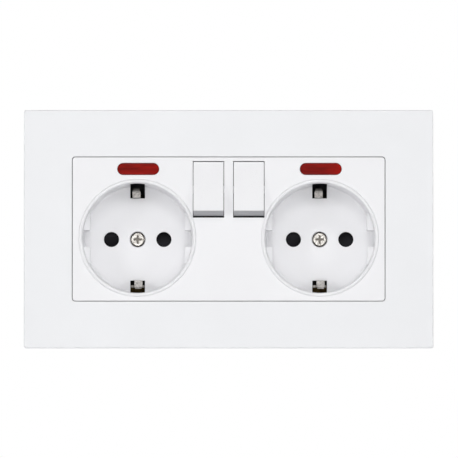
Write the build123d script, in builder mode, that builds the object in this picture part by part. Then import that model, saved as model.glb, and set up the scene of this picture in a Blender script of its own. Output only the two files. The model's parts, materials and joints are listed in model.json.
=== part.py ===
"""Switched double socket for a wall box: two round earthed wells, each with its own rocker switch.

The wall is the plane y = 0. The front looks along -y, x runs to the right and z runs up.
The origin is midway between the two fixing slots. All sizes are in millimetres.
"""

import os
from math import cos, radians, sin, tan, tau

from build123d import *

# Outer frame
frame_width = 148.0
frame_height = 86.0
frame_depth = 9.0
frame_face = 2.0
frame_wall = 2.0
frame_corner = 0.8
frame_edge = 0.4
lip_wall = 1.2
clip_spacing = 90.0
clip_width = 8.0
clip_wall = 1.2
clip_barb = 0.6
clip_clearance = 0.2

# Insert moulding
panel_width = 112.8
panel_height = 51.9
panel_corner = 1.0
panel_thickness = 2.2
panel_gap = 0.25
skirt_wall = 1.4

# Wells
well_spacing = 66.0
well_drop = 3.2
well_mouth = 19.9
well_foot = 19.5
well_depth = 17.0
well_wall = 1.6
well_floor = 2.4
well_round = 0.8
bead_width = 1.4
bead_height = 0.6
guide_inset = 17.2
guide_groove = 6.0
guide_depth = 6.5

# Plug pins
pin_spacing = 19.0
pin_length = 19.0
pin_hole = 2.75

# Carrier plate that is screwed to the wall box
carrier_margin = 3.0
carrier_corner = 3.0
carrier_thickness = 2.0
fixing_spacing = 120.6
fixing_slot = 6.2
fixing_hole = 1.9
window_width = 109.6
window_height = 49.2
window_clearance = 0.4

# Housing behind the wall face
housing_width = 112.4
housing_height = 56.0
housing_wall = 1.5
housing_step = 12.0
housing_back = 2.2
housing_edge = 0.8
core_width = 97.6
core_height = 52.4
core_corner = 4.0
flange_width = 100.0
flange_height = 60.0
flange_thickness = 2.0
shelf_thickness = 1.6
screw_spacing_x = 103.6
screw_spacing_z = 43.2
screw_post = 2.6
screw_hole = 1.4
screw_shank = 1.3
screw_head = 2.4
screw_head_height = 1.6
screw_length = 10.0
screw_room = 1.0

# Rocker switches
rocker_spacing = 14.6
rocker_height_above = 14.35
rocker_tilt = 13.5
rocker_window_width = 11.3
rocker_window_height = 20.45
rocker_side_gap = 0.2
rocker_waist_gap = 0.25
rocker_end_gap = 0.61
rocker_taper = 0.875
rocker_rise = 4.7
rocker_skirt = 2.6
rocker_wall = 1.4
rocker_pivot_depth = 3.1
cheek_depth = 13.0
cheek_wall = 1.5
trunnion = 1.4
trunnion_length = 1.25
trunnion_clearance = 0.1
tube_wall = 0.8
tube_length = 3.6
plunger_radius = 2.0
plunger_clearance = 0.1
plunger_reach = 12.0
plunger_length = 11.6
plunger_nose = 1.1
plunger_wall = 0.6
plunger_coil = 0.9
plunger_wire = 0.4
plunger_turns = 8
coil_corners = 10

# Snap contacts
contact_gap = 0.3
contact_sheet = 0.8
contact_arm = 6.5
contact_width = 4.6
contact_dish = 8.0
contact_pin = 0.6
contact_pin_clearance = 0.1
ear_radius = 1.2
contact_tip = 1.3
contact_tip_height = 0.3
closed_gap = 0.1
ear_clearance = 0.2
pedestal_width = 9.0
pedestal_height = 9.0
feed_height = 4.2
strip_sheet = 0.8
strip_width = 4.0

# Pilot lights
lens_length = 15.0
lens_height = 4.2
lens_rise = 0.25
lens_flange = 0.5
lens_flange_thickness = 1.0
lens_clearance = 0.1
lens_above = 21.72
lens_shift = 0.3
lamp_radius = 2.1
lamp_length = 11.0
lamp_gap = 0.3
lead_radius = 0.25
lead_reach = 1.0
resistor_radius = 1.2
resistor_length = 6.5
resistor_start = 0.5

# Shutters and their springs
shutter_gap = 0.25
shutter_thickness = 2.0
shutter_pad = 3.6
shutter_hub = 5.0
shutter_arm = 3.0
hub_radius = 3.5
hub_clearance = 0.2
ramp_depth = 1.3
shutter_coil = 4.3
shutter_wire = 0.5
shutter_turns = 2.25
shutter_coil_length = 1.4

# Earth clips and sleeves
earth_slot_width = 5.3
earth_slot_inner = 14.9
earth_slot_outer = 20.7
earth_slot_rise = 12.5
earth_strip = 6.0
earth_ring = 5.8
tongue_width = 2.9
tongue_root = 17.0
tongue_bulge = 15.3
tongue_bulge_rise = 3.5
tongue_tip = 17.8
tongue_reach = 8.5
tongue_taper = 1.0
tongue_point = 2.0
upper_shift = -0.4
lower_shift = 0.3
shoulder_width = 5.0
earth_start = 2.4
sleeve_radius = 3.2
sleeve_bore = 2.45
sleeve_length = 10.0
sleeve_slit = 0.8

# Centre screws
centre_head = 2.6
centre_head_height = 1.6
centre_head_gap = 0.3
centre_shank = 1.5
centre_clearance = 0.15
centre_length = 14.0
centre_slot = 0.8
centre_cross = 3.4

# Wiring terminals
terminal_spacing = 11.0
terminal_drop = 13.0
terminal_width = 7.4
terminal_height = 8.0
terminal_depth = 8.4
wire_hole = 2.2
wire_entry = 3.0
terminal_screw = 1.25
terminal_head = 2.3
terminal_head_hole = 2.7
terminal_clearance = 0.1

# Places that follow from the sizes
front_y = -frame_depth
panel_back_y = front_y + panel_thickness
carrier_front_y = -carrier_thickness
carrier_width = frame_width - 2 * (frame_wall + carrier_margin)
carrier_height = frame_height - 2 * (frame_wall + carrier_margin)
floor_y = front_y + well_depth
floor_back_y = floor_y + well_floor
strip_y = floor_y + pin_length
strip_back_y = strip_y + strip_sheet
housing_back_y = strip_back_y + housing_back
earth_y = floor_back_y + shutter_gap + shutter_thickness + earth_start
earth_back_y = earth_y + strip_sheet
skirt_inner_width = panel_width - 2 * skirt_wall
skirt_inner_height = panel_height - 2 * skirt_wall
pivot_y = front_y + rocker_pivot_depth
contact_y = pivot_y + plunger_reach + contact_gap + contact_sheet / 2
feed_y = contact_y + contact_sheet / 2 + 2 * contact_tip_height + closed_gap
feed_back_y = feed_y + strip_sheet
feed_z = rocker_height_above + contact_arm - contact_tip
base_y = contact_y + 2 * contact_sheet + contact_tip_height
base_back_y = base_y + strip_sheet
tube_bore = plunger_radius + plunger_clearance
tube_radius = tube_bore + tube_wall
wire_y = strip_y - terminal_depth / 2 - wire_hole / 2
sides = (("left", -1), ("right", 1))


def facing(y):
    """The plane across the depth at y, seen from the front: x to the right, z up."""
    return Plane(origin=(0, y, 0), x_dir=(1, 0, 0), z_dir=(0, -1, 0))


def side_on(x):
    """The plane at x seen from the right: depth along its first axis, height along its second."""
    return Plane(origin=(x, 0, 0), x_dir=(0, 1, 0), z_dir=(1, 0, 0))


def well_plane(x):
    """The level plane through a well's axis, with radius along its first axis and depth along its second."""
    return Plane(origin=(x, 0, -well_drop), x_dir=(1, 0, 0), z_dir=(0, 0, 1))


def rocker_plane(x):
    """The rocker's own side view in the photographed position: inwards, then up along its face."""
    tilt = radians(rocker_tilt)
    return Plane(
        origin=(x, pivot_y, rocker_height_above),
        x_dir=(0, cos(tilt), -sin(tilt)),
        z_dir=(1, 0, 0),
    )


def rocker_axis_plane(x, inwards):
    """The plane square to the plunger's axis, at a distance inwards from the rocker's pivot."""
    tilt = radians(rocker_tilt)
    axis = Vector(0, cos(tilt), -sin(tilt))
    pivot = Vector(x, pivot_y, rocker_height_above)
    return Plane(origin=pivot + axis * inwards, x_dir=(1, 0, 0), z_dir=axis)


def save(piece, name):
    """Label a finished piece and write it under its own name."""
    piece.part.label = name
    export_step(piece.part, f"parts/{name}.step")


def coil(radius, wire, length, turns, base):
    """A wire spring wound about the base plane's axis, in short straight lengths."""
    steps = round(turns * coil_corners)
    points = []
    for i in range(steps + 1):
        angle = tau * i / coil_corners
        point = Vector(radius * cos(angle), radius * sin(angle), length * i / steps)
        points.append(base.from_local_coords(point))
    with BuildPart() as spring:
        with BuildLine() as path:
            Polyline(*points)
        with BuildSketch(Plane(origin=path.line @ 0, z_dir=path.line % 0)):
            RegularPolygon(wire / 2, 6)
        sweep(transition=Transition.RIGHT)
    return spring


os.makedirs("parts", exist_ok=True)

well_xs = [side * well_spacing / 2 for _, side in sides]
rocker_xs = [side * rocker_spacing / 2 for _, side in sides]
lens_xs = [x + lens_shift for x in well_xs]
screw_places = [
    (i * screw_spacing_x / 2, j * screw_spacing_z / 2) for i in (-1, 1) for j in (-1, 1)
]
clip_places = [(i * clip_spacing / 2, j) for i in (-1, 1) for j in (-1, 1)]

# Outer frame: a shallow tray with a lip round the insert and four snap arms
with BuildPart() as outer_frame:
    with BuildSketch(facing(0)):
        RectangleRounded(frame_width, frame_height, frame_corner)
    extrude(amount=frame_depth)
    fillet(outer_frame.edges().group_by(Axis.Y)[0], frame_edge)
    with BuildSketch(facing(0)):
        RectangleRounded(frame_width - 2 * frame_wall, frame_height - 2 * frame_wall, frame_corner)
    extrude(amount=frame_depth - frame_face, mode=Mode.SUBTRACT)
    with BuildSketch(facing(carrier_front_y)):
        RectangleRounded(
            panel_width + 2 * panel_gap + 2 * lip_wall,
            panel_height + 2 * panel_gap + 2 * lip_wall,
            panel_corner + panel_gap + lip_wall,
        )
    extrude(amount=carrier_front_y - front_y - frame_face / 2)
    with BuildSketch(facing(0)):
        RectangleRounded(
            panel_width + 2 * panel_gap, panel_height + 2 * panel_gap, panel_corner + panel_gap
        )
    extrude(amount=frame_depth, mode=Mode.SUBTRACT)
    arm_height = carrier_height / 2 + clip_clearance
    with BuildSketch(facing(-clip_clearance)):
        for x, side in clip_places:
            with Locations((x, side * (arm_height + clip_wall / 2))):
                Rectangle(clip_width, clip_wall)
    extrude(amount=frame_depth - frame_face - clip_clearance)
    with BuildSketch(side_on(0)) as barbs:
        for side in (-1, 1):
            with BuildLine():
                Polyline(
                    (-clip_clearance, side * arm_height),
                    (-clip_clearance - clip_barb, side * arm_height),
                    (-clip_clearance - clip_barb, side * (arm_height - clip_barb)),
                    close=True,
                )
            make_face()
    for x in (-clip_spacing / 2, clip_spacing / 2):
        extrude(
            barbs.sketch.moved(Location((x, 0, 0))),
            amount=clip_width / 2,
            dir=(1, 0, 0),
            both=True,
        )
save(outer_frame, "outer_frame")

# Carrier plate: slots for the wall screws, a window for the wells and pockets for the snap arms
with BuildPart() as carrier_plate:
    with BuildSketch(facing(0)):
        RectangleRounded(carrier_width, carrier_height, carrier_corner)
        Rectangle(window_width, window_height, mode=Mode.SUBTRACT)
        for x in well_xs:
            with Locations((x, -well_drop)):
                Circle(well_mouth + well_wall + window_clearance, mode=Mode.SUBTRACT)
        with Locations((-fixing_spacing / 2, 0), (fixing_spacing / 2, 0)):
            SlotOverall(fixing_slot, 2 * fixing_hole, mode=Mode.SUBTRACT)
    extrude(amount=carrier_thickness)
    pocket_width = clip_width + 2 * clip_clearance
    pocket_depth = clip_barb + clip_clearance
    with BuildSketch(facing(0)):
        for x, side in clip_places:
            with Locations((x, side * (carrier_height - pocket_depth) / 2)):
                Rectangle(pocket_width, pocket_depth)
    extrude(amount=clip_barb + 2 * clip_clearance, mode=Mode.SUBTRACT)
save(carrier_plate, "carrier_plate")

# Insert moulding: face, wells, rocker windows, lens slots, skirt and screw posts in one piece
with BuildPart() as insert_panel:
    with BuildSketch(facing(carrier_front_y)):
        RectangleRounded(panel_width, panel_height, panel_corner)
    extrude(amount=carrier_front_y - front_y)
    with BuildSketch(facing(carrier_front_y)):
        Rectangle(skirt_inner_width, skirt_inner_height)
    extrude(amount=carrier_front_y - panel_back_y, mode=Mode.SUBTRACT)

    # posts for the housing screws
    with BuildSketch(facing(floor_back_y)):
        with Locations(*screw_places):
            Circle(screw_post)
    extrude(amount=floor_back_y - panel_back_y)
    with BuildSketch(facing(floor_back_y)):
        with Locations(*screw_places):
            Circle(screw_hole)
    extrude(amount=screw_length, mode=Mode.SUBTRACT)

    # cheeks that carry the rocker trunnions
    cheek_span = rocker_spacing + rocker_window_width + 2 * cheek_wall
    with BuildSketch(facing(front_y + cheek_depth)):
        with Locations((0, rocker_height_above)):
            Rectangle(cheek_span, rocker_window_height)
    extrude(amount=cheek_depth - panel_thickness / 2)

    # outer walls of the wells and the raised beads round their mouths
    for x in well_xs:
        with BuildSketch(well_plane(x)):
            with BuildLine():
                Polyline(
                    (0, floor_back_y),
                    (well_foot + well_wall, floor_back_y),
                    (well_mouth + well_wall, front_y + panel_thickness / 2),
                    (0, front_y + panel_thickness / 2),
                    close=True,
                )
            make_face()
        revolve(axis=Axis((x, 0, -well_drop), (0, 1, 0)))
        with BuildSketch(well_plane(x)):
            with BuildLine():
                ThreePointArc(
                    (well_mouth, front_y),
                    (well_mouth + bead_width / 2, front_y - bead_height),
                    (well_mouth + bead_width, front_y),
                )
                Line((well_mouth + bead_width, front_y), (well_mouth, front_y))
            make_face()
        revolve(axis=Axis((x, 0, -well_drop), (0, 1, 0)))

    # the round hollows, with a small round where wall and floor meet
    for x in well_xs:
        with BuildSketch(well_plane(x)) as hollow:
            with BuildLine():
                Polyline(
                    (0, floor_y),
                    (well_foot, floor_y),
                    (well_mouth, front_y),
                    (well_mouth, front_y - 2 * bead_height),
                    (0, front_y - 2 * bead_height),
                    close=True,
                )
            make_face()
            fillet(hollow.vertices().sort_by_distance((well_foot, floor_y, 0))[0], well_round)
        revolve(axis=Axis((x, 0, -well_drop), (0, 1, 0)), mode=Mode.SUBTRACT)

    # guide blocks on both sides of each well, parted by a groove
    for x in well_xs:
        with BuildSketch(facing(floor_y)):
            with Locations((x, -well_drop)):
                Circle(well_foot + well_wall / 2)
                Rectangle(2 * guide_inset, 2 * well_foot, mode=Mode.SUBTRACT)
                Rectangle(2 * (well_foot + well_wall), guide_groove, mode=Mode.SUBTRACT)
        extrude(amount=well_depth - guide_depth)

    # pin holes, screw seats and earth slots in the floors
    pin_places = [(x + i * pin_spacing / 2, -well_drop) for x in well_xs for i in (-1, 1)]
    centre_places = [(x, -well_drop) for x in well_xs]
    with BuildSketch(facing(floor_back_y)):
        with Locations(*pin_places):
            Circle(pin_hole)
        with Locations(*centre_places):
            Circle(centre_shank + centre_clearance)
    extrude(amount=well_floor, mode=Mode.SUBTRACT)
    with BuildSketch(facing(floor_y + centre_head_height)):
        with Locations(*centre_places):
            Circle(centre_head + centre_head_gap)
    extrude(amount=centre_head_height, mode=Mode.SUBTRACT)
    slot_length = earth_slot_outer - earth_slot_inner
    slot_centre = (earth_slot_outer + earth_slot_inner) / 2
    with BuildSketch(facing(floor_back_y)):
        for x in well_xs:
            with Locations((x, slot_centre - well_drop), (x, -slot_centre - well_drop)):
                Rectangle(earth_slot_width, slot_length)
    extrude(amount=earth_slot_rise + well_floor, mode=Mode.SUBTRACT)

    # rocker windows with blind bearing holes in their cheeks
    with BuildSketch(facing(front_y + cheek_depth)):
        with Locations(*[(x, rocker_height_above) for x in rocker_xs]):
            Rectangle(rocker_window_width, rocker_window_height)
    extrude(amount=cheek_depth, mode=Mode.SUBTRACT)
    bearing_reach = rocker_window_width / 2 + trunnion_length
    for x in rocker_xs:
        with BuildSketch(side_on(x)):
            with Locations((pivot_y, rocker_height_above)):
                Circle(trunnion + trunnion_clearance)
        extrude(amount=bearing_reach, both=True, mode=Mode.SUBTRACT)

    # lens slots
    with BuildSketch(facing(panel_back_y)):
        with Locations(*[(x, lens_above) for x in lens_xs]):
            SlotOverall(lens_length + 2 * lens_clearance, lens_height + 2 * lens_clearance)
    extrude(amount=panel_thickness, mode=Mode.SUBTRACT)
save(insert_panel, "insert_panel")

# Housing: a stepped box with hubs for the shutters, pedestals for the contacts and wire entries
with BuildPart() as rear_housing:
    with BuildSketch(facing(housing_step)):
        RectangleRounded(housing_width, housing_height, core_corner)
    extrude(amount=housing_step)
    with BuildSketch(facing(flange_thickness)):
        RectangleRounded(flange_width, flange_height, core_corner)
    extrude(amount=flange_thickness)
    with BuildSketch(facing(housing_back_y)):
        RectangleRounded(core_width, core_height, core_corner)
    extrude(amount=housing_back_y - housing_step)
    fillet(rear_housing.edges().group_by(Axis.Y)[-1], housing_edge)
    with BuildSketch(facing(housing_step - shelf_thickness)):
        RectangleRounded(
            housing_width - 2 * housing_wall,
            housing_height - 2 * housing_wall,
            core_corner - housing_wall,
        )
    extrude(amount=housing_step - shelf_thickness, mode=Mode.SUBTRACT)
    with BuildSketch(facing(strip_back_y)):
        RectangleRounded(
            core_width - 2 * housing_wall, core_height - 2 * housing_wall, core_corner - housing_wall
        )
    extrude(amount=strip_back_y, mode=Mode.SUBTRACT)

    # hubs with a shoulder that the earth strip sits on
    with BuildSketch(facing(strip_back_y)):
        with Locations(*centre_places):
            Circle(shutter_hub)
    extrude(amount=strip_back_y - earth_back_y)
    with BuildSketch(facing(strip_back_y)):
        with Locations(*centre_places):
            Circle(hub_radius)
    extrude(amount=strip_back_y - floor_back_y)
    with BuildSketch(facing(floor_y + centre_head_height + centre_length + screw_room)):
        with Locations(*centre_places):
            Circle(centre_shank + centre_clearance)
    extrude(amount=centre_length + screw_room, mode=Mode.SUBTRACT)

    # pedestals under the switch contacts
    with BuildSketch(facing(strip_back_y)):
        with Locations(*[(x, rocker_height_above) for x in rocker_xs]):
            Rectangle(pedestal_width, pedestal_height)
    extrude(amount=strip_back_y - base_back_y)

    # holes for the housing screws, the terminal screws and the wires
    with BuildSketch(facing(housing_step)):
        with Locations(*screw_places):
            Circle(screw_shank + centre_clearance)
    extrude(amount=shelf_thickness, mode=Mode.SUBTRACT)
    terminal_xs = [i * terminal_spacing for i in (-1, 0, 1)]
    with BuildSketch(facing(housing_back_y)):
        with Locations(*[(x, -terminal_drop) for x in terminal_xs]):
            Circle(terminal_head_hole)
    extrude(amount=housing_back, mode=Mode.SUBTRACT)
    with BuildSketch(Plane.XY.offset(-core_height / 2)):
        with Locations(*[(x, wire_y) for x in terminal_xs]):
            Circle(wire_entry)
    extrude(amount=housing_wall, mode=Mode.SUBTRACT)
save(rear_housing, "rear_housing")

# Four screws that pull housing, carrier and insert together
with BuildPart() as housing_screws:
    with BuildSketch(facing(housing_step + screw_head_height)):
        with Locations(*screw_places):
            Circle(screw_head)
    extrude(amount=screw_head_height)
    with BuildSketch(facing(housing_step)):
        with Locations(*screw_places):
            Circle(screw_shank)
    extrude(amount=screw_length)
    with BuildSketch(facing(housing_step + screw_head_height)):
        for place in screw_places:
            with Locations(place):
                Rectangle(centre_cross, centre_slot)
                Rectangle(centre_slot, centre_cross)
    extrude(amount=screw_head_height / 2, mode=Mode.SUBTRACT)
save(housing_screws, "housing_screws")

for (side_name, side), x in zip(sides, rocker_xs):
    tilt = radians(rocker_tilt)
    half_window = rocker_window_height / 2
    half_width = rocker_window_width / 2 - rocker_side_gap
    half_waist = half_window - rocker_waist_gap
    half_face = half_waist - rocker_taper
    waist_out = rocker_rise - rocker_taper / tan(tilt)
    waist_in = (half_window - rocker_end_gap - half_waist * cos(tilt)) / sin(tilt)
    half_skirt = (half_window - rocker_end_gap - rocker_skirt * sin(tilt)) / cos(tilt)

    # Rocker: a hollow cap with tapered ends, two trunnions and a tube for the plunger.
    # Its pushed-in end stands square to the window, and below the waist the raised end does.
    with BuildPart() as rocker:
        with BuildSketch(rocker_plane(x)):
            with BuildLine():
                Polyline(
                    (-rocker_rise, half_face),
                    (-waist_out, half_waist),
                    (waist_in, half_waist),
                    (rocker_skirt, half_skirt),
                    (rocker_skirt, -half_skirt),
                    (waist_in, -half_waist),
                    (-waist_out, -half_waist),
                    (-rocker_rise, -half_face),
                    close=True,
                )
            make_face()
        extrude(amount=half_width, both=True)
        with BuildSketch(rocker_plane(x)):
            with BuildLine():
                Polyline(
                    (rocker_wall - rocker_rise, half_face - rocker_wall),
                    (0, half_waist - rocker_wall),
                    (rocker_skirt, half_skirt - rocker_wall),
                    (rocker_skirt, rocker_wall - half_skirt),
                    (0, rocker_wall - half_waist),
                    (rocker_wall - rocker_rise, rocker_wall - half_face),
                    close=True,
                )
            make_face()
        extrude(amount=half_width - rocker_wall, both=True, mode=Mode.SUBTRACT)
        with BuildSketch(rocker_axis_plane(x, rocker_wall / 2 - rocker_rise)):
            Circle(tube_radius)
        extrude(amount=rocker_rise - rocker_wall / 2 + tube_length)
        with BuildSketch(rocker_axis_plane(x, rocker_wall - rocker_rise)):
            Circle(tube_bore)
        extrude(amount=rocker_rise - rocker_wall + tube_length, mode=Mode.SUBTRACT)
        for end in (-1, 1):
            with BuildSketch(rocker_plane(x + end * (half_width - rocker_wall))):
                Circle(trunnion)
            extrude(amount=end * (rocker_wall + rocker_side_gap + trunnion_length - trunnion_clearance))
    save(rocker, f"rocker_{side_name}")

    # Plunger: a round-nosed pin in the rocker's tube, with a blind hole for its spring
    with BuildPart() as plunger:
        with BuildSketch(rocker_axis_plane(x, plunger_reach - plunger_length)):
            Circle(plunger_radius)
        extrude(amount=plunger_length)
        nose = plunger.edges().filter_by(GeomType.CIRCLE).sort_by(Axis.Y)[-1]
        fillet(nose, plunger_nose)
        with BuildSketch(rocker_axis_plane(x, plunger_reach - plunger_length)):
            Circle(plunger_radius - plunger_wall)
        extrude(amount=plunger_length - 2 * plunger_nose, mode=Mode.SUBTRACT)
    save(plunger, f"plunger_{side_name}")

    # Plunger spring, between the underside of the rocker face and the bottom of the plunger's hole
    spring_start = rocker_wall - rocker_rise + plunger_wire
    spring_end = plunger_reach - 2 * plunger_nose - plunger_wire
    plunger_spring = coil(
        radius=plunger_coil,
        wire=plunger_wire,
        length=spring_end - spring_start,
        turns=plunger_turns,
        base=rocker_axis_plane(x, spring_start),
    )
    save(plunger_spring, f"plunger_spring_{side_name}")

    # Snap contact: a strip bent at its two pins, tipped by the plunger, with a rivet near its upper end
    lean = radians(2 * contact_dish)
    upper_end = (contact_y - contact_arm * sin(lean), rocker_height_above + contact_arm * cos(lean))
    rivet_reach = contact_arm - contact_tip
    with BuildPart() as snap_contact:
        with BuildSketch(side_on(x)):
            with BuildLine():
                Polyline(
                    upper_end,
                    (contact_y, rocker_height_above),
                    (contact_y, rocker_height_above - contact_arm),
                )
            trace(line_width=contact_sheet)
        extrude(amount=contact_width / 2, both=True)
        with BuildSketch(side_on(x)):
            with Locations((contact_y, rocker_height_above)):
                Circle(contact_pin)
        extrude(amount=contact_width / 2 + ear_clearance + contact_sheet, both=True)
        rivet = Plane(
            origin=(
                x,
                contact_y - rivet_reach * sin(lean),
                rocker_height_above + rivet_reach * cos(lean),
            ),
            x_dir=(1, 0, 0),
            z_dir=(0, cos(lean), sin(lean)),
        )
        with BuildSketch(rivet):
            Circle(contact_tip)
        extrude(amount=contact_sheet / 2 + contact_tip_height)
    save(snap_contact, f"snap_contact_{side_name}")

    # Pivot bracket: two ears for the snap contact, a leg down the pedestal and a strip to the sleeve
    sleeve_x = side * (well_spacing - pin_spacing) / 2
    ear_x = contact_width / 2 + ear_clearance
    bracket_half = ear_x + contact_sheet
    leg_z = rocker_height_above - pedestal_height / 2
    with BuildPart() as pivot_bracket:
        for end in (-1, 1):
            with BuildSketch(side_on(x + end * ear_x)):
                with Locations((contact_y, rocker_height_above)):
                    Circle(ear_radius)
                with Locations(((contact_y + base_back_y) / 2, rocker_height_above)):
                    Rectangle(base_back_y - contact_y, 2 * ear_radius)
                with Locations((contact_y, rocker_height_above)):
                    Circle(contact_pin + contact_pin_clearance, mode=Mode.SUBTRACT)
            extrude(amount=end * contact_sheet)
        with BuildSketch(facing(base_back_y)):
            with Locations((x, rocker_height_above - pedestal_height / 4 - strip_sheet / 2)):
                Rectangle(2 * bracket_half, pedestal_height / 2 + strip_sheet + ear_radius)
        extrude(amount=strip_sheet)
        with BuildSketch(facing(strip_back_y)):
            with Locations((x, leg_z - strip_sheet / 2)):
                Rectangle(strip_width, strip_sheet)
        extrude(amount=strip_back_y - base_y)
        with BuildSketch(facing(strip_back_y)):
            with Locations((x, (leg_z - well_drop - strip_width / 2) / 2)):
                Rectangle(strip_width, leg_z + well_drop + strip_width / 2)
            with Locations(((x + sleeve_x) / 2, -well_drop)):
                Rectangle(abs(sleeve_x - x) + strip_width, strip_width)
            with Locations((sleeve_x, -well_drop)):
                Circle(sleeve_radius)
        extrude(amount=strip_sheet)
    save(pivot_bracket, f"pivot_bracket_{side_name}")

for (side_name, side), x, lens_x in zip(sides, well_xs, lens_xs):
    # Lens: a domed red pill with a flange behind the panel
    with BuildPart() as lens:
        with BuildSketch(facing(panel_back_y)):
            with Locations((lens_x, lens_above)):
                SlotOverall(lens_length, lens_height)
        extrude(amount=panel_thickness + lens_rise)
        fillet(lens.edges().group_by(Axis.Y)[0], lens_rise)
        with BuildSketch(facing(panel_back_y + lens_flange_thickness)):
            with Locations((lens_x, lens_above)):
                SlotOverall(lens_length + 4 * lens_flange, lens_height + 2 * lens_flange)
        extrude(amount=lens_flange_thickness)
    save(lens, f"lens_{side_name}")

    # Neon lamp behind the lens: a glass tube with a lead at each end, bent back into the housing
    lamp_y = panel_back_y + lens_flange_thickness + lamp_gap + lamp_radius
    with BuildPart() as neon_lamp:
        with BuildSketch(side_on(lens_x)):
            with Locations((lamp_y, lens_above)):
                Circle(lamp_radius)
        extrude(amount=lamp_length / 2, both=True)
        chamfer(neon_lamp.edges().filter_by(GeomType.CIRCLE), lamp_radius / 2)
        for end in (-1, 1):
            lead_x = lens_x + end * (lamp_length / 2 + lead_reach)
            with BuildSketch(side_on(lead_x + end * lead_radius)):
                with Locations((lamp_y, lens_above)):
                    Circle(lead_radius)
            extrude(amount=-end * (lead_reach + 2 * lead_radius))
            with BuildSketch(facing(resistor_start)):
                with Locations((lead_x, lens_above)):
                    Circle(lead_radius)
            extrude(amount=resistor_start - lamp_y + lead_radius)
    save(neon_lamp, f"neon_lamp_{side_name}")

    # Series resistor on the lamp's inner lead
    with BuildPart() as lamp_resistor:
        with BuildSketch(facing(resistor_start + resistor_length)):
            with Locations((lens_x - side * (lamp_length / 2 + lead_reach), lens_above)):
                Circle(resistor_radius)
        extrude(amount=resistor_length)
        chamfer(lamp_resistor.edges().filter_by(GeomType.CIRCLE), resistor_radius / 3)
    save(lamp_resistor, f"lamp_resistor_{side_name}")

    # Shutter: a hub with two pads over the pin holes, each with a ramp that the plug pins push on
    shutter_y = floor_back_y + shutter_gap
    with BuildPart() as shutter:
        with BuildSketch(facing(shutter_y + shutter_thickness)):
            with Locations((x, -well_drop)):
                Circle(shutter_hub)
                Rectangle(pin_spacing, 2 * shutter_arm)
            with Locations((x - pin_spacing / 2, -well_drop), (x + pin_spacing / 2, -well_drop)):
                Circle(shutter_pad)
            with Locations((x, -well_drop)):
                Circle(hub_radius + hub_clearance, mode=Mode.SUBTRACT)
        extrude(amount=shutter_thickness)
        for end in (-1, 1):
            with BuildSketch(side_on(x + end * shutter_hub)):
                with BuildLine():
                    Polyline(
                        (shutter_y, end * shutter_pad - well_drop),
                        (shutter_y, -end * shutter_pad / 4 - well_drop),
                        (shutter_y + ramp_depth, end * shutter_pad - well_drop),
                        close=True,
                    )
                make_face()
            extrude(amount=end * (pin_spacing / 2 + shutter_pad), mode=Mode.SUBTRACT)
    save(shutter, f"shutter_{side_name}")

    # Torsion spring between the shutter and the earth strip
    shutter_back_y = shutter_y + shutter_thickness
    spring_room = (earth_y - shutter_back_y - shutter_coil_length) / 2
    shutter_spring = coil(
        radius=shutter_coil,
        wire=shutter_wire,
        length=shutter_coil_length,
        turns=shutter_turns,
        base=Plane(origin=(x, shutter_back_y + spring_room, -well_drop), z_dir=(0, 1, 0)),
    )
    save(shutter_spring, f"shutter_spring_{side_name}")

    # Earth clip: one strip round the hub, bent forward at both ends into a sprung, tapered tongue
    mid_earth_y = earth_y + strip_sheet / 2
    tongue_front_y = floor_y - tongue_reach
    bulge_y = floor_y - tongue_bulge_rise
    with BuildPart() as earth_clip:
        with BuildSketch(facing(earth_back_y)):
            with Locations((x, -well_drop)):
                Rectangle(earth_strip, 2 * tongue_root - strip_sheet)
                Circle(earth_ring)
                Circle(hub_radius + hub_clearance, mode=Mode.SUBTRACT)
        extrude(amount=strip_sheet)
        for end, shift, root_shift, root_width in (
            (1, upper_shift, upper_shift, tongue_width),
            (-1, lower_shift, 0, shoulder_width),
        ):
            root = end * tongue_root - well_drop
            tip = end * tongue_tip - well_drop
            with BuildSketch(side_on(x + root_shift)):
                with BuildLine():
                    FilletPolyline(
                        (mid_earth_y, end * (tongue_root - 4 * strip_sheet) - well_drop),
                        (mid_earth_y, root),
                        (floor_y + strip_sheet, root),
                        radius=strip_sheet,
                    )
                trace(line_width=strip_sheet)
            extrude(amount=root_width / 2, both=True)
            with BuildSketch(side_on(x + shift)):
                with BuildLine():
                    FilletPolyline(
                        (floor_back_y + strip_sheet, root),
                        (floor_y, root),
                        (bulge_y, end * tongue_bulge - well_drop),
                        (tongue_front_y, tip),
                        radius=strip_sheet,
                    )
                trace(line_width=strip_sheet)
            extrude(amount=tongue_width / 2, both=True)
            with BuildSketch(facing(bulge_y)):
                for edge in (-1, 1):
                    with BuildLine():
                        Polyline(
                            (x + shift + edge * tongue_width / 2, tip - end * tongue_taper),
                            (x + shift + edge * tongue_point / 2, tip + end * strip_sheet),
                            (x + shift + edge * tongue_width, tip + end * strip_sheet),
                            (x + shift + edge * tongue_width, tip - end * tongue_taper),
                            close=True,
                        )
                    make_face()
            extrude(amount=tongue_reach, mode=Mode.SUBTRACT)
    save(earth_clip, f"earth_clip_{side_name}")

    # Two sleeves that grip the plug pins, each slit crosswise from the front
    for role, pin_side in (("live", -side), ("neutral", side)):
        sleeve_x = x + pin_side * pin_spacing / 2
        with BuildPart() as sleeve:
            with BuildSketch(facing(strip_y)):
                with Locations((sleeve_x, -well_drop)):
                    Circle(sleeve_radius)
                    Circle(sleeve_bore, mode=Mode.SUBTRACT)
            extrude(amount=sleeve_length)
            with BuildSketch(facing(strip_y - sleeve_length / 4)):
                with Locations((sleeve_x, -well_drop)):
                    Rectangle(2 * sleeve_radius, sleeve_slit)
                    Rectangle(sleeve_slit, 2 * sleeve_radius)
            extrude(amount=sleeve_length, mode=Mode.SUBTRACT)
        save(sleeve, f"{role}_sleeve_{side_name}")

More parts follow.
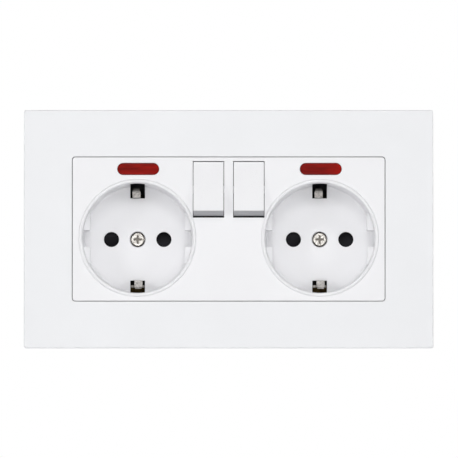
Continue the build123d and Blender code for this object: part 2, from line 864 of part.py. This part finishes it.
    # Centre screw: a low round head with a cross and a slot
    with BuildPart() as centre_screw:
        with BuildSketch(facing(floor_y + centre_head_height)):
            with Locations((x, -well_drop)):
                Circle(centre_head)
        extrude(amount=centre_head_height)
        fillet(centre_screw.edges().group_by(Axis.Y)[0], centre_head_height / 3)
        with BuildSketch(facing(floor_y + centre_head_height + centre_length)):
            with Locations((x, -well_drop)):
                Circle(centre_shank)
        extrude(amount=centre_length)
        with BuildSketch(facing(floor_y)):
            with Locations((x, -well_drop)):
                Rectangle(2 * centre_head, centre_slot)
        extrude(amount=-centre_head_height / 4, mode=Mode.SUBTRACT)
        with BuildSketch(facing(floor_y)):
            with Locations((x, -well_drop)):
                Rectangle(centre_cross, centre_slot)
                Rectangle(centre_slot, centre_cross)
        extrude(amount=-centre_head_height / 2, mode=Mode.SUBTRACT)
    save(centre_screw, f"centre_screw_{side_name}")

# Feed strip: from the live terminal up between the pedestals to a fixed contact behind each rocker
with BuildPart() as feed_strip:
    with BuildSketch(facing(feed_back_y)):
        with Locations((0, feed_z)):
            Rectangle(rocker_spacing + 2 * contact_tip, feed_height)
    extrude(amount=strip_sheet)
    with BuildSketch(facing(feed_y)):
        with Locations(*[(x, feed_z) for x in rocker_xs]):
            Circle(contact_tip)
    extrude(amount=contact_tip_height)
    with BuildSketch(facing(strip_back_y)):
        with Locations((0, feed_z)):
            Rectangle(strip_width, strip_sheet)
    extrude(amount=strip_back_y - feed_y)
    with BuildSketch(facing(strip_back_y)):
        with Locations((0, (feed_z - terminal_drop) / 2)):
            Rectangle(strip_width, feed_z + terminal_drop + strip_sheet)
        with Locations((0, -terminal_drop)):
            Rectangle(terminal_width, terminal_height)
            Circle(terminal_screw + terminal_clearance, mode=Mode.SUBTRACT)
    extrude(amount=strip_sheet)
save(feed_strip, "feed_strip")

# Neutral strip: joins the outer sleeves and the neutral terminal along the bottom
neutral_x = (well_spacing + pin_spacing) / 2
neutral_z = -core_height / 2 + housing_wall + strip_width
with BuildPart() as neutral_strip:
    with BuildSketch(facing(strip_back_y)):
        with Locations((0, neutral_z)):
            Rectangle(2 * neutral_x + strip_width, strip_width)
        for end in (-1, 1):
            with Locations((end * neutral_x, (neutral_z - well_drop) / 2)):
                Rectangle(strip_width, -well_drop - neutral_z)
            with Locations((end * neutral_x, -well_drop)):
                Circle(sleeve_radius)
        with Locations((terminal_spacing, (neutral_z - terminal_drop + terminal_height / 2) / 2)):
            Rectangle(terminal_width, terminal_height / 2 - terminal_drop - neutral_z)
        with Locations((terminal_spacing, -terminal_drop)):
            Circle(terminal_screw + terminal_clearance, mode=Mode.SUBTRACT)
    extrude(amount=strip_sheet)
save(neutral_strip, "neutral_strip")

# Earth strip: joins both earth clips behind the wells and runs back to the earth terminal
earth_z = -terminal_drop
with BuildPart() as earth_link:
    with BuildSketch(facing(earth_back_y + strip_sheet)):
        with Locations((0, earth_z)):
            Rectangle(well_spacing + earth_strip, strip_width)
    extrude(amount=strip_sheet)
save(earth_link, "earth_link")

# Terminals: brass blocks with a hole for the wire and a screw from behind
for (role, index), block_front_y in zip(
    (("earth", -1), ("live", 0), ("neutral", 1)),
    (earth_back_y + strip_sheet, strip_y - terminal_depth, strip_y - terminal_depth),
):
    x = index * terminal_spacing
    with BuildPart() as terminal:
        with BuildSketch(facing(strip_y)):
            with Locations((x, -terminal_drop)):
                Rectangle(terminal_width, terminal_height)
        extrude(amount=strip_y - block_front_y)
        with BuildSketch(Plane.XY.offset(-terminal_drop)):
            with Locations((x, wire_y)):
                Circle(wire_hole)
        extrude(amount=terminal_height / 2, both=True, mode=Mode.SUBTRACT)
        with BuildSketch(facing(strip_y)):
            with Locations((x, -terminal_drop)):
                Circle(terminal_screw + terminal_clearance)
        extrude(amount=strip_y - wire_y, mode=Mode.SUBTRACT)
    save(terminal, f"{role}_terminal")

    with BuildPart() as terminal_bolt:
        with BuildSketch(facing(housing_back_y)):
            with Locations((x, -terminal_drop)):
                Circle(terminal_head)
        extrude(amount=housing_back)
        with BuildSketch(facing(strip_back_y)):
            with Locations((x, -terminal_drop)):
                Circle(terminal_screw)
        extrude(amount=strip_back_y - wire_y - wire_hole)
        with BuildSketch(facing(housing_back_y)):
            with Locations((x, -terminal_drop)):
                Rectangle(2 * terminal_head, centre_slot)
        extrude(amount=housing_back / 2, mode=Mode.SUBTRACT)
    save(terminal_bolt, f"{role}_terminal_screw")
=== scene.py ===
"""Looks of a switched double socket: finishes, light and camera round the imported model.

The frame is in metres: x to the right, y into the wall, z up. Finishes are procedural, and every
pattern is sized in millimetres of the real thing.
"""

import json
import math

import bpy
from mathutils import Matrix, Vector


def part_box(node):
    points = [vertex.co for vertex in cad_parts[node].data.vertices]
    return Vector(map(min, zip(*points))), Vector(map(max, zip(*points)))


MM = 0.001

# The photograph: square, taken from far off and from a little below
PHOTO_PIXELS = 458
PIXELS_PER_MM = 2.767
SOCKET_CENTRE_PIXEL = (228.65, 229.0)
LOOK_UP = math.radians(2.0)
LENS_MM = 1000.0
SENSOR_MM = 36.0

# The photographed rockers lean this far, and their faces reach this far from the pivot
ROCKER_TILT = math.radians(13.5)
ROCKER_HALF_FACE = 9.1 * MM
# Painted shade: the flat grey painted on the rockers' end faces, which face down away from the light
ROCKER_END_SHADE_GREY = "#A9A9AD"
# From the front of an earth clip back to the roots of its tongues, where the clips' painted shade begins
TONGUE_REACH = 8.5 * MM

# Studio, in metres: how far the floor lies below the socket's middle, and half its width
FLOOR_DROP = 0.30
FLOOR_HALF = 20.0
# The share of plain white in what the camera and reflections see of the floor
FLOOR_PALE = 0.85
# The strength of the even light from the room
AMBIENT = 0.22
BOX_SIZE = 0.25
# Square softboxes of BOX_SIZE metres, 1 m away: watts, degrees to the right, degrees up
SOFTBOXES = {
    "left": (1.68, -45, 8),
    "right": (1.33, 45, 8),
    "front_high": (1.75, 0, 20),
    "front_low": (1.36, 0, -10),
    "top": (0.87, 0, 46),
    "rear_left": (2.4, -140, 12),
    "rear_right": (2.4, 140, 12),
}
# A strip lamp just over the floor for the underside: watts, place, width and depth
UNDERLIGHT = (0.16, (0.0, 0.10, -0.24), (0.30, 0.06))


def linear(code):
    """An sRGB hex colour as the linear RGBA that Blender's sockets take."""
    channels = [int(code[i : i + 2], 16) / 255 for i in (1, 3, 5)]
    return [c / 12.92 if c <= 0.04045 else ((c + 0.055) / 1.055) ** 2.4 for c in channels] + [1.0]


def add(tree, kind, settings=None, inputs=None):
    """Adds a node, sets its own settings, and fills its inputs with values or with (node, output) links."""
    node = tree.nodes.new(kind)
    for key, value in (settings or {}).items():
        setattr(node, key, value)
    for key, value in (inputs or {}).items():
        if isinstance(value, tuple) and isinstance(value[0], bpy.types.Node):
            tree.links.new(value[0].outputs[value[1]], node.inputs[key])
        else:
            node.inputs[key].default_value = value
    return node


def per_mm(size):
    """The texture scale that makes one pattern repeat that many millimetres wide."""
    return 1 / (size * MM)


def begin(name):
    """A new material with an empty tree, and the coordinates that its patterns use."""
    material = bpy.data.materials.new(name)
    material.use_nodes = True
    tree = material.node_tree
    tree.nodes.clear()
    place = add(tree, "ShaderNodeTexCoord")
    return material, tree, place


def close(tree, shader):
    """Links the shader to the material's output."""
    add(tree, "ShaderNodeOutputMaterial", inputs={"Surface": (shader, 0)})


def ramp(tree, factor, stops):
    """A colour ramp through (place, grey or colour) stops."""
    node = add(tree, "ShaderNodeValToRGB", inputs={"Fac": factor})
    elements = node.color_ramp.elements
    while len(elements) < len(stops):
        elements.new(0.5)
    for element, (position, value) in zip(elements, stops):
        element.position = position
        element.color = value if isinstance(value, list) else [value, value, value, 1.0]
    return node


def moulded_polycarbonate(name, light, shade, roughness, edge_mm, shaded_ends=None):
    """Injection-moulded polycarbonate: smooth and bright with a soft sheen.

    The polished steel tool leaves faint flow clouds a few centimetres wide and a grain of about
    0.05 mm, drawn here at 0.4 mm so that it shows. Every edge has the small round of the tool.
    The last argument is (middle, direction, half length) of a rocker, whose end faces get painted shade: a
    flat grey, as they face down away from the light.
    """
    material, tree, place = begin(name)
    clouds = add(
        tree,
        "ShaderNodeTexNoise",
        inputs={"Vector": (place, "Object"), "Scale": per_mm(26), "Detail": 2.0, "Roughness": 0.4},
    )
    grain = add(
        tree,
        "ShaderNodeTexNoise",
        inputs={"Vector": (place, "Object"), "Scale": per_mm(0.4), "Detail": 3.0, "Roughness": 0.6},
    )
    colour = (ramp(tree, (clouds, "Fac"), [(0.3, linear(shade)), (0.7, linear(light))]), "Color")
    # Painted shade: a rocker's end faces are coloured a flat grey
    if shaded_ends:
        middle, direction, half_length = shaded_ends
        from_middle = add(
            tree,
            "ShaderNodeVectorMath",
            {"operation": "SUBTRACT"},
            {0: (place, "Object"), 1: middle},
        )
        along = add(
            tree, "ShaderNodeVectorMath", {"operation": "DOT_PRODUCT"}, {0: (from_middle, 0), 1: direction}
        )
        reach = add(tree, "ShaderNodeMath", {"operation": "ABSOLUTE"}, {0: (along, "Value")})
        end = add(
            tree,
            "ShaderNodeMapRange",
            inputs={"Value": (reach, 0), "From Min": half_length, "From Max": half_length + 0.15 * MM},
        )
        mix = add(
            tree,
            "ShaderNodeMix",
            {"data_type": "RGBA"},
            {"Factor": (end, "Result"), "A": colour, "B": linear(ROCKER_END_SHADE_GREY)},
        )
        colour = (mix, "Result")
    gloss = ramp(tree, (grain, "Fac"), [(0.3, roughness - 0.04), (0.7, roughness + 0.04)])
    round_edge = add(tree, "ShaderNodeBevel", {"samples": 6}, {"Radius": edge_mm * MM})
    bump = add(
        tree,
        "ShaderNodeBump",
        inputs={
            "Height": (grain, "Fac"),
            "Strength": 0.05,
            "Distance": 0.05 * MM,
            "Normal": (round_edge, "Normal"),
        },
    )
    shader = add(
        tree,
        "ShaderNodeBsdfPrincipled",
        inputs={
            "Base Color": colour,
            "Roughness": (gloss, "Color"),
            "IOR": 1.58,
            "Normal": (bump, "Normal"),
        },
    )
    close(tree, shader)
    return material


def filled_nylon(name, light, shade, shine=0.5):
    """Glass-filled nylon with a matt eroded skin: fine speckle and broken highlights.

    The eroded grain is about 0.15 mm, drawn at 0.5 mm so that it shows.
    """
    material, tree, place = begin(name)
    grain = add(
        tree,
        "ShaderNodeTexNoise",
        inputs={"Vector": (place, "Object"), "Scale": per_mm(0.5), "Detail": 4.0, "Roughness": 0.65},
    )
    fibres = add(
        tree,
        "ShaderNodeTexNoise",
        inputs={"Vector": (place, "Object"), "Scale": per_mm(9), "Detail": 5.0, "Distortion": 1.2},
    )
    colour = ramp(tree, (fibres, "Fac"), [(0.35, linear(shade)), (0.65, linear(light))])
    gloss = ramp(tree, (grain, "Fac"), [(0.3, 0.48), (0.7, 0.66)])
    round_edge = add(tree, "ShaderNodeBevel", {"samples": 4}, {"Radius": 0.2 * MM})
    bump = add(
        tree,
        "ShaderNodeBump",
        inputs={
            "Height": (grain, "Fac"),
            "Strength": 0.35,
            "Distance": 0.08 * MM,
            "Normal": (round_edge, "Normal"),
        },
    )
    shader = add(
        tree,
        "ShaderNodeBsdfPrincipled",
        inputs={
            "Base Color": (colour, "Color"),
            "Roughness": (gloss, "Color"),
            "IOR": 1.53,
            "Specular IOR Level": shine,
            "Normal": (bump, "Normal"),
        },
    )
    close(tree, shader)
    return material


def plated_metal(name, bright, dull, roughness, scratch_mm, strength):
    """Plated or bare metal: the plate follows the fine drawn or turned lines of the metal under it.

    The lines are 0.02 to 0.05 mm apart on the real pieces, and are drawn coarser so that they show.
    """
    material, tree, place = begin(name)
    stretch = add(
        tree,
        "ShaderNodeMapping",
        inputs={"Vector": (place, "Object"), "Scale": (1.0, 0.12, 1.0)},
    )
    lines = add(
        tree,
        "ShaderNodeTexNoise",
        inputs={"Vector": (stretch, "Vector"), "Scale": per_mm(scratch_mm), "Detail": 4.0},
    )
    stains = add(
        tree,
        "ShaderNodeTexNoise",
        inputs={"Vector": (place, "Object"), "Scale": per_mm(2.2), "Detail": 3.0},
    )
    colour = ramp(tree, (stains, "Fac"), [(0.35, linear(dull)), (0.65, linear(bright))])
    gloss = ramp(tree, (lines, "Fac"), [(0.3, roughness - 0.07), (0.7, roughness + 0.1)])
    round_edge = add(tree, "ShaderNodeBevel", {"samples": 4}, {"Radius": 0.12 * MM})
    bump = add(
        tree,
        "ShaderNodeBump",
        inputs={
            "Height": (lines, "Fac"),
            "Strength": strength,
            "Distance": 0.05 * MM,
            "Normal": (round_edge, "Normal"),
        },
    )
    shader = add(
        tree,
        "ShaderNodeBsdfPrincipled",
        inputs={
            "Base Color": (colour, "Color"),
            "Metallic": 1.0,
            "Roughness": (gloss, "Color"),
            "Normal": (bump, "Normal"),
        },
    )
    close(tree, shader)
    return material


def radius_about(tree, place, centre_x, centre_z):
    """The coordinates, and the distance from an axis into the wall, the same for both sockets."""
    axes = add(tree, "ShaderNodeSeparateXYZ", inputs={"Vector": (place, "Object")})
    side = add(tree, "ShaderNodeMath", {"operation": "ABSOLUTE"}, {0: (axes, "X")})
    across = add(tree, "ShaderNodeMath", {"operation": "SUBTRACT"}, {0: (side, 0), 1: centre_x})
    up = add(tree, "ShaderNodeMath", {"operation": "SUBTRACT"}, {0: (axes, "Z"), 1: centre_z})
    flat = add(tree, "ShaderNodeCombineXYZ", inputs={"X": (across, 0), "Y": (up, 0)})
    return axes, add(tree, "ShaderNodeVectorMath", {"operation": "LENGTH"}, {0: (flat, 0)})


def nickel_plate(head_y, centre_x, centre_z):
    """Nickel on turned steel: bright on the screw's face, with painted shade, darker and rougher where shade
    falls.

    The painted shade lies in the cross, which goes in from the face at head_y, and round the rim.
    """
    material, tree, place = begin("bright_nickel_plate_on_steel")
    axes, radius = radius_about(tree, place, centre_x, centre_z)
    # Painted shade: the cross and a ring round the head are coloured dark, where shade falls
    depth = add(
        tree,
        "ShaderNodeMapRange",
        inputs={"Value": (axes, "Y"), "From Min": head_y + 0.02 * MM, "From Max": head_y + 0.35 * MM},
    )
    middle = add(
        tree,
        "ShaderNodeMapRange",
        inputs={"Value": (radius, "Value"), "From Min": 1.75 * MM, "From Max": 1.45 * MM},
    )
    rim = add(
        tree,
        "ShaderNodeMapRange",
        inputs={"Value": (radius, "Value"), "From Min": 2.0 * MM, "From Max": 2.3 * MM},
    )
    recess = add(
        tree, "ShaderNodeMath", {"operation": "MULTIPLY"}, {0: (depth, "Result"), 1: (middle, "Result")}
    )
    screw_shade = add(tree, "ShaderNodeMath", {"operation": "MAXIMUM"}, {0: (recess, 0), 1: (rim, "Result")})
    turning = add(
        tree,
        "ShaderNodeTexNoise",
        inputs={"Vector": (place, "Object"), "Scale": per_mm(0.9), "Detail": 4.0, "Roughness": 0.6},
    )
    face = ramp(tree, (turning, "Fac"), [(0.35, linear("#8F8B86")), (0.65, linear("#D6D3CE"))])
    colour = add(
        tree,
        "ShaderNodeMix",
        {"data_type": "RGBA"},
        {"Factor": (screw_shade, 0), "A": (face, "Color"), "B": linear("#625E59")},
    )
    gloss = ramp(tree, (screw_shade, 0), [(0.0, 0.2), (1.0, 0.45)])
    bump = add(
        tree,
        "ShaderNodeBump",
        inputs={"Height": (turning, "Fac"), "Strength": 0.12, "Distance": 0.05 * MM},
    )
    shader = add(
        tree,
        "ShaderNodeBsdfPrincipled",
        inputs={
            "Base Color": (colour, "Result"),
            "Metallic": 1.0,
            "Roughness": (gloss, "Color"),
            "Normal": (bump, "Normal"),
        },
    )
    close(tree, shader)
    return material


def tinned_bronze(root_y, centre_z):
    """Tin over spring bronze, with painted shade: bright in front, near black deeper in, where shade falls.

    The painted shade darkens the tongues from just behind root_y, and the tip of the upper one.
    """
    material, tree, place = begin("tinned_phosphor_bronze")
    axes = add(tree, "ShaderNodeSeparateXYZ", inputs={"Vector": (place, "Object")})
    # Painted shade: near black deeper in the well, and on the upper tongue's tip, which the wall above
    # shades
    depth = add(
        tree,
        "ShaderNodeMapRange",
        inputs={"Value": (axes, "Y"), "From Min": root_y + 0.4 * MM, "From Max": root_y + 1.3 * MM},
    )
    tip = add(
        tree,
        "ShaderNodeMapRange",
        inputs={
            "Value": (axes, "Z"),
            "From Min": centre_z + 16.8 * MM,
            "From Max": centre_z + 17.4 * MM,
            "To Max": 0.8,
        },
    )
    clip_shade = add(
        tree, "ShaderNodeMath", {"operation": "MAXIMUM"}, {0: (depth, "Result"), 1: (tip, "Result")}
    )
    rub = add(
        tree,
        "ShaderNodeTexNoise",
        inputs={"Vector": (place, "Object"), "Scale": per_mm(1.1), "Detail": 4.0, "Roughness": 0.65},
    )
    bright_tin = ramp(tree, (rub, "Fac"), [(0.35, linear("#9A958F")), (0.62, linear("#E2DED8"))])
    colour = add(
        tree,
        "ShaderNodeMix",
        {"data_type": "RGBA"},
        {"Factor": (clip_shade, 0), "A": (bright_tin, "Color"), "B": linear("#2B2927")},
    )
    gloss = ramp(tree, (clip_shade, 0), [(0.0, 0.3), (1.0, 0.6)])
    bump = add(
        tree,
        "ShaderNodeBump",
        inputs={"Height": (rub, "Fac"), "Strength": 0.25, "Distance": 0.08 * MM},
    )
    shader = add(
        tree,
        "ShaderNodeBsdfPrincipled",
        inputs={
            "Base Color": (colour, "Result"),
            "Metallic": 1.0,
            "Roughness": (gloss, "Color"),
            "Normal": (bump, "Normal"),
        },
    )
    close(tree, shader)
    return material


def red_acrylic(name, left_end, right_end):
    """Dyed acrylic over a dark hollow: deep red, with a polished skin and faint streaks from moulding.

    Painted light makes it lighter and warmer towards the right end, and painted shade makes it darker at the
    left end, as the photographed lenses are. The gloss is held down, because they show hardly any of the
    white room.
    """
    material, tree, place = begin(name)
    axes = add(tree, "ShaderNodeSeparateXYZ", inputs={"Vector": (place, "Object")})
    along = add(
        tree,
        "ShaderNodeMapRange",
        inputs={"Value": (axes, "X"), "From Min": left_end, "From Max": right_end},
    )
    stretch = add(
        tree,
        "ShaderNodeMapping",
        inputs={"Vector": (place, "Object"), "Scale": (0.15, 1.0, 1.0)},
    )
    streaks = add(
        tree,
        "ShaderNodeTexNoise",
        inputs={"Vector": (stretch, "Vector"), "Scale": per_mm(1.3), "Detail": 3.0, "Roughness": 0.55},
    )
    body = ramp(tree, (streaks, "Fac"), [(0.35, linear("#820F0A")), (0.65, linear("#AE160D"))])
    # Painted light and shade: darker at the left end, lighter and warmer at the right end
    lens_light_and_shade = ramp(
        tree,
        (along, "Result"),
        [
            (0.0, linear("#B9C9C0")),
            (0.15, linear("#D2E0E0")),
            (0.8, linear("#DCE0D8")),
            (1.0, linear("#FFD0A0")),
        ],
    )
    colour = add(
        tree,
        "ShaderNodeMix",
        {"data_type": "RGBA", "blend_type": "MULTIPLY"},
        {"Factor": 1.0, "A": (body, "Color"), "B": (lens_light_and_shade, "Color")},
    )
    round_edge = add(tree, "ShaderNodeBevel", {"samples": 6}, {"Radius": 0.25 * MM})
    bump = add(
        tree,
        "ShaderNodeBump",
        inputs={
            "Height": (streaks, "Fac"),
            "Strength": 0.08,
            "Distance": 0.1 * MM,
            "Normal": (round_edge, "Normal"),
        },
    )
    shader = add(
        tree,
        "ShaderNodeBsdfPrincipled",
        inputs={
            "Base Color": (colour, "Result"),
            "Roughness": 0.12,
            "IOR": 1.49,
            "Specular IOR Level": 0.1,
            "Normal": (bump, "Normal"),
        },
    )
    close(tree, shader)
    return material


def lamp_glass():
    """Thin blown soda glass of a neon lamp: nearly clear, with a warm grey cast from the electrodes."""
    material, tree, place = begin("blown_soda_glass")
    swirl = add(
        tree,
        "ShaderNodeTexNoise",
        inputs={"Vector": (place, "Object"), "Scale": per_mm(1.5), "Detail": 2.0},
    )
    colour = ramp(tree, (swirl, "Fac"), [(0.3, linear("#D9CFC4")), (0.7, linear("#EFE8E0"))])
    shader = add(
        tree,
        "ShaderNodeBsdfPrincipled",
        inputs={
            "Base Color": (colour, "Color"),
            "Roughness": 0.05,
            "IOR": 1.52,
            "Transmission Weight": 0.7,
        },
    )
    close(tree, shader)
    return material


def lacquered_ceramic():
    """A film resistor's lacquer: tan, glossy and a little uneven where it was dipped."""
    material, tree, place = begin("dipped_tan_lacquer")
    pooling = add(
        tree,
        "ShaderNodeTexNoise",
        inputs={"Vector": (place, "Object"), "Scale": per_mm(1.8), "Detail": 2.0},
    )
    colour = ramp(tree, (pooling, "Fac"), [(0.3, linear("#B08A5E")), (0.7, linear("#C9A679"))])
    shader = add(
        tree,
        "ShaderNodeBsdfPrincipled",
        inputs={"Base Color": (colour, "Color"), "Roughness": 0.25, "IOR": 1.5},
    )
    close(tree, shader)
    return material


def aim(thing, place, target):
    """Puts a lamp or camera at a place, looking at a target, both in metres."""
    thing.location = place
    thing.rotation_mode = "QUATERNION"
    thing.rotation_quaternion = (Vector(target) - Vector(place)).to_track_quat("-Z", "Y")


def softbox(name, watts, place, size):
    """A softbox of that width and height in metres, aimed at the socket and out of the camera's sight."""
    data = bpy.data.lights.new(name, "AREA")
    data.shape = "RECTANGLE"
    data.size, data.size_y = size
    data.energy = watts
    lamp = bpy.data.objects.new(name, data)
    bpy.context.scene.collection.objects.link(lamp)
    lamp.visible_camera = False
    aim(lamp, place, (0, 0, 0))


def seen_directly(tree):
    """1 for what the camera, a reflection or clear glass sees, and 0 for the light that falls on things."""
    path = add(tree, "ShaderNodeLightPath")
    through = add(
        tree,
        "ShaderNodeMath",
        {"operation": "MAXIMUM"},
        {0: (path, "Is Glossy Ray"), 1: (path, "Is Transmission Ray")},
    )
    return add(
        tree,
        "ShaderNodeMath",
        {"operation": "MAXIMUM"},
        {0: (path, "Is Camera Ray"), 1: (through, "Value")},
    )


def studio():
    """A plain pale floor under an even world that the camera sees as white, and the softboxes.

    The floor is painted board, matt and nearly even. A share of plain white makes it pale to the
    camera and in reflections, and lights nothing.
    """
    world = bpy.data.worlds.new("studio")
    bpy.context.scene.world = world
    world.use_nodes = True
    tree = world.node_tree
    tree.nodes.clear()
    room = add(tree, "ShaderNodeBackground", inputs={"Color": linear("#FFFFFF"), "Strength": AMBIENT})
    white = add(tree, "ShaderNodeBackground", inputs={"Color": linear("#FFFFFF"), "Strength": 1.0})
    mix = add(tree, "ShaderNodeMixShader", inputs={0: (seen_directly(tree), 0), 1: (room, 0), 2: (white, 0)})
    add(tree, "ShaderNodeOutputWorld", inputs={"Surface": (mix, 0)})

    mesh = bpy.data.meshes.new("floor")
    sides = ((-1, -1), (1, -1), (1, 1), (-1, 1))
    corners = [(x * FLOOR_HALF, y * FLOOR_HALF, -FLOOR_DROP) for x, y in sides]
    mesh.from_pydata(corners, [], [(0, 1, 2, 3)])
    floor = bpy.data.objects.new("floor", mesh)
    bpy.context.scene.collection.objects.link(floor)
    material, tree, place = begin("painted_board")
    wash = add(
        tree,
        "ShaderNodeTexNoise",
        inputs={"Vector": (place, "Object"), "Scale": per_mm(900), "Detail": 1.0},
    )
    colour = ramp(tree, (wash, "Fac"), [(0.3, linear("#EDEDEE")), (0.7, linear("#F2F2F3"))])
    shader = add(
        tree,
        "ShaderNodeBsdfPrincipled",
        inputs={"Base Color": (colour, "Color"), "Roughness": 0.8},
    )
    share = add(
        tree, "ShaderNodeMath", {"operation": "MULTIPLY"}, {0: (seen_directly(tree), 0), 1: FLOOR_PALE}
    )
    white = add(tree, "ShaderNodeEmission", inputs={"Color": linear("#FFFFFF"), "Strength": 1.0})
    pale = add(tree, "ShaderNodeMixShader", inputs={0: (share, 0), 1: (shader, 0), 2: (white, 0)})
    close(tree, pale)
    material.cycles.emission_sampling = "NONE"
    floor.data.materials.append(material)

    for name, (watts, right, up) in SOFTBOXES.items():
        turn, rise = math.radians(right), math.radians(up)
        place = (math.sin(turn) * math.cos(rise), -math.cos(turn) * math.cos(rise), math.sin(rise))
        softbox(name, watts, place, (BOX_SIZE, BOX_SIZE))
    softbox("under", *UNDERLIGHT)


def camera(front_y):
    """The photograph's camera: far off, a little below the socket, looking slightly up at its face."""
    data = bpy.data.cameras.new("camera")
    data.lens = LENS_MM
    data.sensor_width = SENSOR_MM
    distance = LENS_MM / SENSOR_MM * PHOTO_PIXELS / PIXELS_PER_MM * MM
    data.clip_start = distance / 10
    data.clip_end = distance * 10
    middle = PHOTO_PIXELS / 2
    aside = (middle - SOCKET_CENTRE_PIXEL[0]) / PIXELS_PER_MM * MM
    above = (SOCKET_CENTRE_PIXEL[1] - middle) / PIXELS_PER_MM * MM
    target = Vector((aside, front_y, above))
    back = Vector((0, -math.cos(LOOK_UP), -math.sin(LOOK_UP)))
    made = bpy.data.objects.new("camera", data)
    bpy.context.scene.collection.objects.link(made)
    aim(made, target + back * distance, target)
    bpy.context.scene.camera = made


def dress(nodes, material, *names):
    """Gives CAD nodes their finish."""
    for name in names:
        data = nodes[name].data
        data.materials.clear()
        data.materials.append(material)


def both(name):
    """The names of the left and the right one of a piece."""
    return [f"{name}_left", f"{name}_right"]


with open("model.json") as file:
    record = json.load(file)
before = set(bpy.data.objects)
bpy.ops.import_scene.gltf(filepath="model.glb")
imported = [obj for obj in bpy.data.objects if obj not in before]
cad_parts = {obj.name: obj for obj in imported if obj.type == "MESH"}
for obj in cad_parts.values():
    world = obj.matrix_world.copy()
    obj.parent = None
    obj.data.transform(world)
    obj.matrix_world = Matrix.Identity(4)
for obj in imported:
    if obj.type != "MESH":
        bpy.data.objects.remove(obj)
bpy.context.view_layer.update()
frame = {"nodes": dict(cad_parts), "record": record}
nodes = frame["nodes"]

# Finishes
frame_white = moulded_polycarbonate("moulded_white_polycarbonate_frame", "#EDEEF0", "#EBECEE", 0.38, 0.15)
panel_white = moulded_polycarbonate("moulded_white_polycarbonate_insert", "#EFEFF1", "#EDEDEF", 0.33, 0.12)
pivot = next(j for j in frame["record"]["behaviour"]["joints"] if j["name"] == "rocker_left_tilt")["pos_m"]
# Where the rockers' end faces lie, for the painted shade on them
rocker_shaded_ends = ((0, pivot[1], pivot[2]), (0, math.sin(ROCKER_TILT), math.cos(ROCKER_TILT)), ROCKER_HALF_FACE)
rocker_white = moulded_polycarbonate(
    "moulded_white_polycarbonate_rocker", "#EBEBED", "#E8E8EA", 0.30, 0.15, rocker_shaded_ends
)
# Painted shade: the rear housing is coloured dark grey, for the dark cavity seen through the slots
shade_dark_nylon = filled_nylon("moulded_dark_grey_filled_nylon", "#4A4B4F", "#404145", 0.2)
grey_nylon = filled_nylon("moulded_light_grey_filled_nylon", "#9C9EA0", "#929496")
# Painted shade: the shutters are coloured near black, for the deep, shaded pin holes
shade_black_nylon = filled_nylon("moulded_black_nylon", "#1E1D22", "#17161A", 0.1)
natural_nylon = filled_nylon("moulded_natural_nylon", "#E6E0D0", "#D9D2BF")
screw_low, screw_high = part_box("centre_screw_right")
well_x, well_z = (screw_low[0] + screw_high[0]) / 2, (screw_low[2] + screw_high[2]) / 2
nickel = nickel_plate(screw_low[1], well_x, well_z)
tin = tinned_bronze(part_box("earth_clip_left")[0][1] + TONGUE_REACH, well_z)
zinc = plated_metal("zinc_plated_steel", "#C9CCD2", "#B0B4BC", 0.3, 0.35, 0.12)
steel = plated_metal("drawn_spring_steel", "#8E8F92", "#77787C", 0.35, 0.3, 0.1)
# Painted shade: the brass is coloured near black, for the dark cavity seen through the socket's slots
brass = plated_metal("stamped_brass_painted_dark_as_shade", "#5C4A2C", "#33281A", 0.4, 0.4, 0.15)

# Which piece has which finish
dress(nodes, frame_white, "outer_frame")
dress(nodes, panel_white, "insert_panel")
dress(nodes, rocker_white, *both("rocker"))
dress(nodes, grey_nylon, "carrier_plate")
dress(nodes, shade_dark_nylon, "rear_housing")
dress(nodes, shade_black_nylon, *both("shutter"))
dress(nodes, natural_nylon, *both("plunger"))
for name in both("lens"):
    low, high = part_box(name)
    dress(nodes, red_acrylic(f"moulded_red_acrylic_{name}", low[0], high[0]), name)
dress(nodes, lamp_glass(), *both("neon_lamp"))
dress(nodes, lacquered_ceramic(), *both("lamp_resistor"))
dress(nodes, nickel, *both("centre_screw"))
dress(nodes, tin, *both("earth_clip"))
dress(nodes, steel, *both("plunger_spring"), *both("shutter_spring"))
dress(nodes, zinc, "housing_screws", *[f"{role}_terminal_screw" for role in ("live", "neutral", "earth")])
dress(nodes, brass, "feed_strip", "neutral_strip", "earth_link", *both("pivot_bracket"))
dress(nodes, brass, *both("live_sleeve"), *both("neutral_sleeve"), *both("snap_contact"))
dress(nodes, brass, *[f"{role}_terminal" for role in ("live", "neutral", "earth")])

studio()
camera(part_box("outer_frame")[0][1])

bpy.context.scene.view_settings.view_transform = "Standard"
